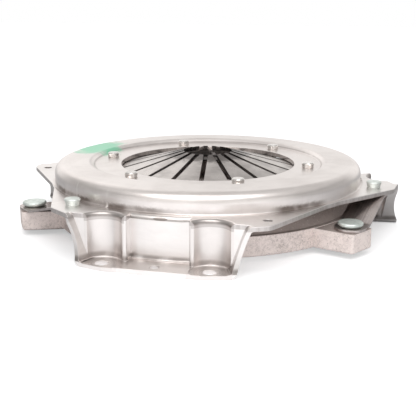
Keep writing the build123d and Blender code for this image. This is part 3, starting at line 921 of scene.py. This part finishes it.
def makeLeaf(look, pack, layer):
    # the leaf's middle line runs from rivet to rivet; its plan is a stadium with half its width as end radius,
    # and its height is level at both ends with an even fall between two soft bends
    ends = [rivetPlace(look, end, pack) for end in ("coverRivet", "lugRivet")]
    length = float(np.linalg.norm(ends[1] - ends[0]))
    along = (ends[1] - ends[0]) / length
    side = np.array([along[1], -along[0]])
    half = look["width"] / 2
    sweep = np.linspace(0.0, math.pi / 2, look["endRows"])
    between = np.linspace(0.0, length, look["runRows"] + 2)[1:-1]
    runs = np.concatenate([-half * np.cos(sweep), between, length + half * np.sin(sweep)])
    over = np.maximum(np.maximum(-runs, runs - length), 0.0)
    halves = np.sqrt(np.maximum(half * half - over * over, 0.0))
    fall = (look["topAtCover"] - look["topAtLug"]) / (length - 2 * look["flat"])
    fallen = softRamp(runs - look["flat"], look["bend"]) - softRamp(runs - (length - look["flat"]), look["bend"])
    top = look["topAtCover"] - layer * look["pitch"] - fall * fallen
    across = np.linspace(-1.0, 1.0, look["columns"])
    flat = ends[0] + runs[:, None, None] * along + (halves[:, None] * across[None, :])[:, :, None] * side
    points = shellPoints(flat, top, look["thickness"])
    faces = shellFaces(len(runs), look["columns"], len(runs) - 1)
    piece = buildMesh(f"strapLeaf_{pack + 1}_{layer + 1}", points, faces, strapSteel)
    spot = np.empty(len(piece.data.loops), np.int32)
    piece.data.loops.foreach_get("vertex_index", spot)
    offset = pointsOf(piece)[:, :2] - ends[0]
    own = np.stack([offset @ along, offset @ side + layer * look["patternStep"]], axis=1)[spot]
    piece.data.uv_layers.new(name="along").data.foreach_set("uv", own.ravel().astype(np.float32))
    rounded(piece, *look["edge"])
    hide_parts(f"strap_{pack + 1}_leaf_{layer + 1}")
    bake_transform(piece)


for pack in range(straps["packs"]):
    for layer in range(straps["leaves"]):
        makeLeaf(straps, pack, layer)
print("drive straps made")


# Camera, floor and lamps

cameraSetup = {
    "turn": 14.46,  # degrees about the clutch axis
    "tilt": 14.64,
    "roll": 0.17,
    "distance": 0.6216,
    "focal": 817.2 / 416.0,  # in picture widths
    "target": (0.00022, 0.0, 0.00765),
}


def placeCamera(look):
    tilt, roll = math.radians(look["tilt"]), math.radians(look["roll"])
    forward = Vector((0.0, math.cos(tilt), -math.sin(tilt)))
    level = Vector((1.0, 0.0, 0.0))
    upright = Vector((0.0, math.sin(tilt), math.cos(tilt)))
    right = math.cos(roll) * level + math.sin(roll) * upright
    up = math.cos(roll) * upright - math.sin(roll) * level
    pose = Matrix((right, up, -forward)).transposed().to_4x4()
    pose.translation = Vector(look["target"]) - look["distance"] * forward
    lens = bpy.data.cameras.new("camera")
    lens.sensor_width = 36.0
    lens.lens = 36.0 * look["focal"]
    lens.clip_start, lens.clip_end = 0.01, 50.0
    camera = bpy.data.objects.new("camera", lens)
    camera.matrix_world = Matrix.Rotation(math.radians(look["turn"]), 4, "Z") @ pose
    bpy.context.scene.collection.objects.link(camera)
    bpy.context.scene.camera = camera


studio = {
    "floorSize": 8.0,
    "floorDrop": 0.0002,
    "floorColor": (0.80, 0.81, 0.83),
    "floorGlow": 0.42,
    # tone of the floor in gloss by its side: behind at 0, left and right at 0.5, in front at 1
    "floorTones": ((0.0, 0.95), (0.12, 0.80), (0.28, 0.55), (0.58, 0.58), (0.75, 0.85), (0.88, 1.0), (1.0, 1.0)),
    "floorShine": {"side": (0.80, 0.99), "strength": 0.45},  # extra light in gloss from the floor in front
    "skyColor": (1.0, 0.985, 0.965),
    # tone of the tent by height: bright backdrop low down and greyer cloth above it
    "skyTones": ((0.0, 0.84), (0.14, 0.88), (0.25, 0.98), (0.42, 0.78), (0.62, 0.60), (1.0, 0.66)),
    # tone of its lower part by side: in front at 0, left and right at 0.5 and behind at 1
    "sideTones": ((0.0, 0.92), (0.20, 0.88), (0.33, 0.44), (0.76, 0.44), (0.92, 1.0), (1.0, 1.0)),
    "sideTop": (0.62, 0.40),
    # extra light from a panel high on the left, from the soft cloth above on the camera's side,
    # and from the backdrop left and right of its middle
    "leftPanel": {"middle": -0.28, "half": (0.34, 0.12), "low": (0.26, 0.4), "high": (0.86, 0.7), "strength": 0.42},
    "frontTop": {"side": (-0.12, -0.42), "low": (0.60, 0.78), "strength": 0.45},
    "backSides": {"away": (0.05, 0.26), "high": (0.42, 0.26), "strength": 0.16},
    "lamps": [
        # name, place, size, power, colour
        ("front", (-0.25, -0.95, 1.30), (1.5, 0.9), 5.6, (1.0, 0.99, 0.97)),
        ("above", (0.05, -0.62, 1.42), (1.4, 0.7), 4.0, (1.0, 1.0, 1.0)),
    ],
    "aim": (0.0, 0.0, 0.02),
}


def cameraTurned(tree, direction, flatten=1.0):
    turn = (0.0, 0.0, -math.radians(cameraSetup["turn"]))
    return stretched(tree, direction, (1.0, 1.0, flatten), turn)


def whiteFloor(look):
    # the floor keeps the object's shadow, and its own glow lifts the rest to white for the camera and for gloss
    material, tree, shader, place = startMaterial("paleFloor")
    shader.inputs["Roughness"].default_value = 0.9
    shader.inputs["Specular IOR Level"].default_value = 0.1
    shader.inputs["Emission Color"].default_value = (1.0, 1.0, 1.0, 1.0)
    ray = addNode(tree, "ShaderNodeLightPath").outputs
    heading = vectorMaths(tree, "NORMALIZE", cameraTurned(tree, place, 0.0))
    front = maths(tree, "MULTIPLY_ADD", split(tree, heading)[1], -0.5, 0.5)
    less = maths(tree, "SUBTRACT", stepped(tree, front, look["floorTones"]), 1.0)
    tone = maths(tree, "MULTIPLY_ADD", ray["Is Glossy Ray"], less, 1.0)
    tree.links.new(mixColors(tree, tone, (0.0, 0.0, 0.0), look["floorColor"]), shader.inputs["Base Color"])
    shine = remap(tree, front, *look["floorShine"]["side"], 0.0, look["floorShine"]["strength"])
    plain = product(tree, ray["Is Camera Ray"], look["floorGlow"])
    glow = maths(tree, "MULTIPLY_ADD", ray["Is Glossy Ray"], shine, plain)
    tree.links.new(glow, shader.inputs["Emission Strength"])
    half, level = look["floorSize"] / 2, -look["floorDrop"]
    mesh = bpy.data.meshes.new("floor")
    corners = [(-half, -half, level), (half, -half, level), (half, half, level), (-half, half, level)]
    mesh.from_pydata(corners, [], [(0, 1, 2, 3)])
    mesh.materials.append(material)
    floor = bpy.data.objects.new("floor", mesh)
    bpy.context.scene.collection.objects.link(floor)


def paintTent(look):
    # soft light from all round, toned by height and by side, and plain white for the camera
    world = bpy.data.worlds.new("studio")
    bpy.context.scene.world = world
    world.use_nodes = True
    tree = world.node_tree
    background = tree.nodes["Background"]
    seen = addNode(tree, "ShaderNodeLightPath").outputs["Is Camera Ray"]
    color = mixColors(tree, seen, look["skyColor"], (1.0, 1.0, 1.0))
    tree.links.new(color, background.inputs["Color"])
    heading = addNode(tree, "ShaderNodeTexCoord").outputs["Generated"]
    right, back, up = split(tree, cameraTurned(tree, heading))[:3]
    panel, cloth, wings = look["leftPanel"], look["frontTop"], look["backSides"]
    offside = maths(tree, "ABSOLUTE", maths(tree, "SUBTRACT", right, panel["middle"]))
    away = maths(tree, "ABSOLUTE", right)
    strength = stepped(tree, up, look["skyTones"])
    for light, ranges in (
        (panel, ((offside, "half"), (up, "low"), (up, "high"))),
        (cloth, ((back, "side"), (up, "low"))),
        (wings, ((away, "away"), (up, "high"))),
    ):
        masks = [remap(tree, value, *light[key]) for value, key in ranges]
        strength = maths(tree, "MULTIPLY_ADD", product(tree, *masks), light["strength"], strength)
    side = stepped(tree, maths(tree, "MULTIPLY_ADD", back, 0.5, 0.5), look["sideTones"])
    shaded = product(tree, maths(tree, "SUBTRACT", side, 1.0), remap(tree, up, *look["sideTop"]))
    strength = product(tree, strength, maths(tree, "ADD", shaded, 1.0))
    tree.links.new(maths(tree, "MAXIMUM", strength, seen), background.inputs["Strength"])


def hangLamps(look):
    turned = Matrix.Rotation(math.radians(cameraSetup["turn"]), 4, "Z")
    for name, place, size, power, color in look["lamps"]:
        lamp = bpy.data.lights.new(name, "AREA")
        lamp.shape = "RECTANGLE"
        lamp.size, lamp.size_y = size
        lamp.energy = power
        lamp.color = color
        holder = bpy.data.objects.new(name, lamp)
        holder.location = turned @ Vector(place)
        aim = Vector(look["aim"]) - holder.location
        holder.rotation_euler = aim.to_track_quat("-Z", "Y").to_euler()
        bpy.context.scene.collection.objects.link(holder)


placeCamera(cameraSetup)
whiteFloor(studio)
paintTent(studio)
hangLamps(studio)
bpy.context.scene.view_settings.view_transform = "Standard"
print("studio made")
